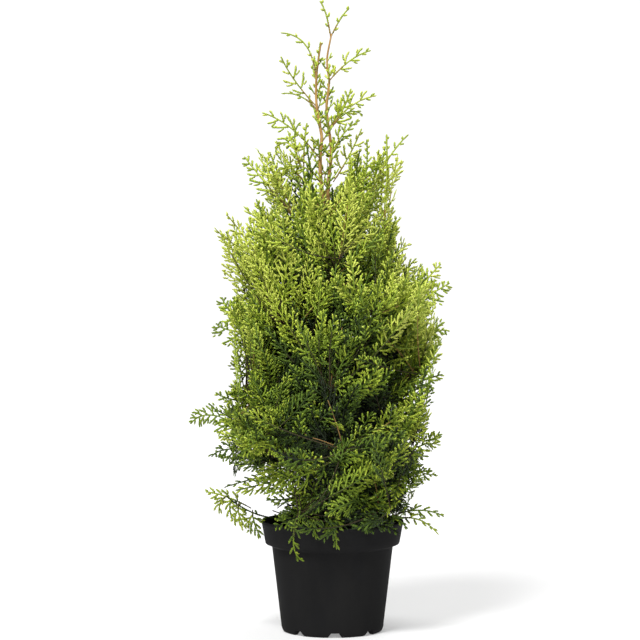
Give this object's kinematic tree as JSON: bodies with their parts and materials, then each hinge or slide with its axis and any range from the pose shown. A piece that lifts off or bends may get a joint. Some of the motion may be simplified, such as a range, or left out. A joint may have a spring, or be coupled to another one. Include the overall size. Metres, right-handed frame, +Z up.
{
  "type": "potted thuja",
  "caption": "Young thuja with twin leaders and a dense narrow crown of flat sprays, in a round black nursery pot with a rim band and a notched foot.",
  "frame": {"origin": "middle of the pot's flat underside, on the surface that it stands on", "axes": "+Z up along the trunk, +X to the plant's right as seen from its front, -Y to its front"},
  "size_m": [0.3386, 0.2816, 0.837],
  "materials": {
    "pot": "satin black, faintly scuffed",
    "soil": "damp crumbly compost, matte",
    "bark": "dull brown bark with long shallow ridges",
    "young_bark": "smooth orange-brown young stem",
    "foliage_deep": "deep green scale leaves, matte",
    "foliage_mid": "mid green scale leaves, satin",
    "foliage_light": "light yellow-green scale leaves, satin",
    "foliage_tip": "yellow-green new growth, satin"
  },
  "bodies": {
    "root": {"pot": "pot", "potting_soil": "soil", "trunk": "bark", "right_leader": "young_bark", "foliage_skirt_right": "foliage_deep", "bough_skirt_right": "bark", "foliage_skirt_back": "foliage_deep", "bough_skirt_back": "bark", "foliage_skirt_back_left": "foliage_deep", "bough_skirt_back_left": "bark", "foliage_skirt_left": "foliage_deep", "bough_skirt_left": "bark", "foliage_skirt_front": "foliage_deep", "bough_skirt_front": "bark", "foliage_skirt_front_right": "foliage_deep", "bough_skirt_front_right": "bark", "foliage_low_right": "foliage_deep", "bough_low_right": "bark", "foliage_low_back_right": "foliage_deep", "bough_low_back_right": "bark", "foliage_low_back": "foliage_deep", "bough_low_back": "bark", "foliage_low_left": "foliage_deep", "bough_low_left": "bark", "foliage_low_front_left": "foliage_deep", "bough_low_front_left": "bark", "foliage_low_front": "foliage_deep", "bough_low_front": "bark", "foliage_lower_right": "foliage_mid", "bough_lower_right": "bark", "foliage_lower_back_right": "foliage_mid", "bough_lower_back_right": "bark", "foliage_lower_back_left": "foliage_mid", "bough_lower_back_left": "bark", "foliage_lower_left": "foliage_mid", "bough_lower_left": "bark", "foliage_lower_front": "foliage_mid", "foliage_middle_right": "foliage_mid", "foliage_middle_back": "foliage_mid", "foliage_middle_left": "foliage_mid", "foliage_middle_front_left": "foliage_mid", "foliage_middle_front_right": "foliage_mid", "foliage_upper_right": "foliage_light", "foliage_upper_back": "foliage_light", "foliage_upper_left": "foliage_light", "foliage_upper_front": "foliage_light", "foliage_shoulder_back_right": "foliage_light", "foliage_shoulder_back_left": "foliage_light", "foliage_shoulder_front": "foliage_light", "foliage_spire_right": "foliage_tip", "foliage_spire_left": "foliage_tip", "sprig_nodding": "foliage_tip", "spray_left_high": "foliage_tip", "spray_left_low": "foliage_tip", "spray_right_high": "foliage_tip", "spray_right_fan": "foliage_tip", "sprig_top_left": "foliage_tip", "sprig_top_right": "foliage_tip", "frond_hanging": "foliage_mid"}
  },
  "joints": []
}
